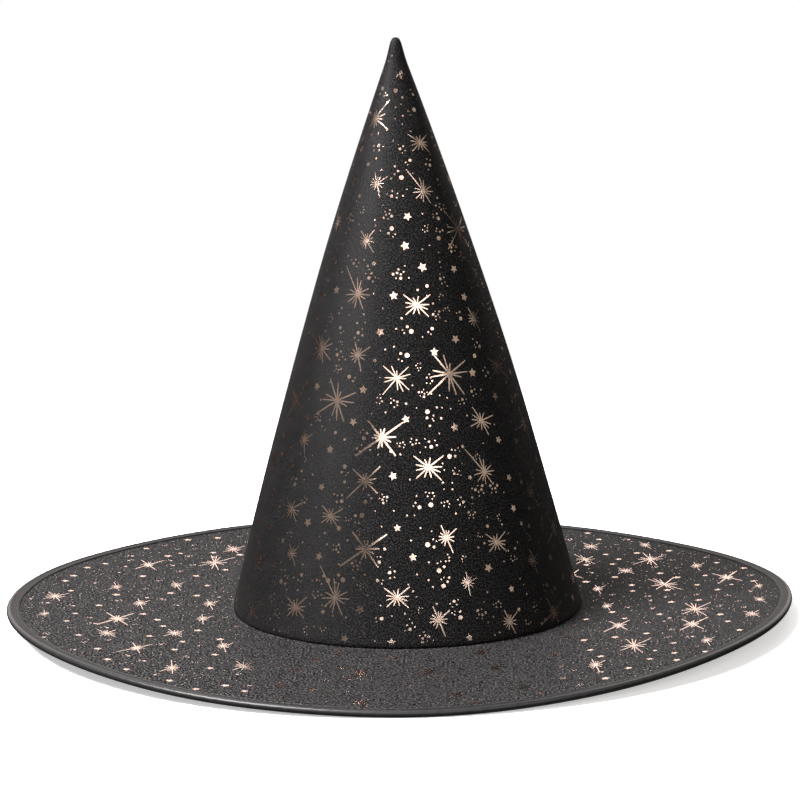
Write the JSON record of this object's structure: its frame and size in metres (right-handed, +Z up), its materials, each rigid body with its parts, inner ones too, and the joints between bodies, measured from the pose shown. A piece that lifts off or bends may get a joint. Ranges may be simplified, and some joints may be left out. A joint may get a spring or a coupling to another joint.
{
  "type": "witch hat",
  "caption": "Pointed black witch hat: a stiffened cloth cone sewn to a wide, gently waved brim with a wired, tape-bound edge, a sweatband and a hanging care label.",
  "frame": {"origin": "centre of the brim on the surface that the hat stands on", "axes": "+Z up along the crown; -Y is the hat's front; +Y is the back, where the seams meet"},
  "size_m": [0.416, 0.416, 0.3038],
  "materials": {
    "printed_cloth": "satin",
    "plain_cloth": "satin",
    "stiffener": "matte",
    "lining": "matte",
    "thread": "satin",
    "satin_tape": "satin",
    "wire": "satin",
    "crimp": "satin",
    "ribbon": "matte",
    "label": "satin"
  },
  "bodies": {
    "hat": {"crown_fabric": "printed_cloth", "crown_interlining": "stiffener", "crown_lining": "lining", "crown_seam_thread": "thread", "tip_tack": "thread", "brim_top_fabric": "printed_cloth", "brim_interlining": "stiffener", "brim_bottom_fabric": "plain_cloth", "brim_binding": "satin_tape", "binding_needle_thread": "thread", "binding_bobbin_thread": "thread", "brim_wire": "wire", "wire_crimp": "crimp", "brim_join_thread": "thread", "sweatband": "ribbon", "sweatband_thread": "thread", "sweatband_bar_tack": "thread", "label_tack": "thread"},
    "label": {"care_label": "label"}
  },
  "joints": [
    {"name": "label_swing", "type": "hinge", "parent": "hat", "child": "label", "pos_m": [0.0044, 0.0798, 0.03524], "axis": [-1, 0, 0], "range_deg": [-8, 140]}
  ]
}
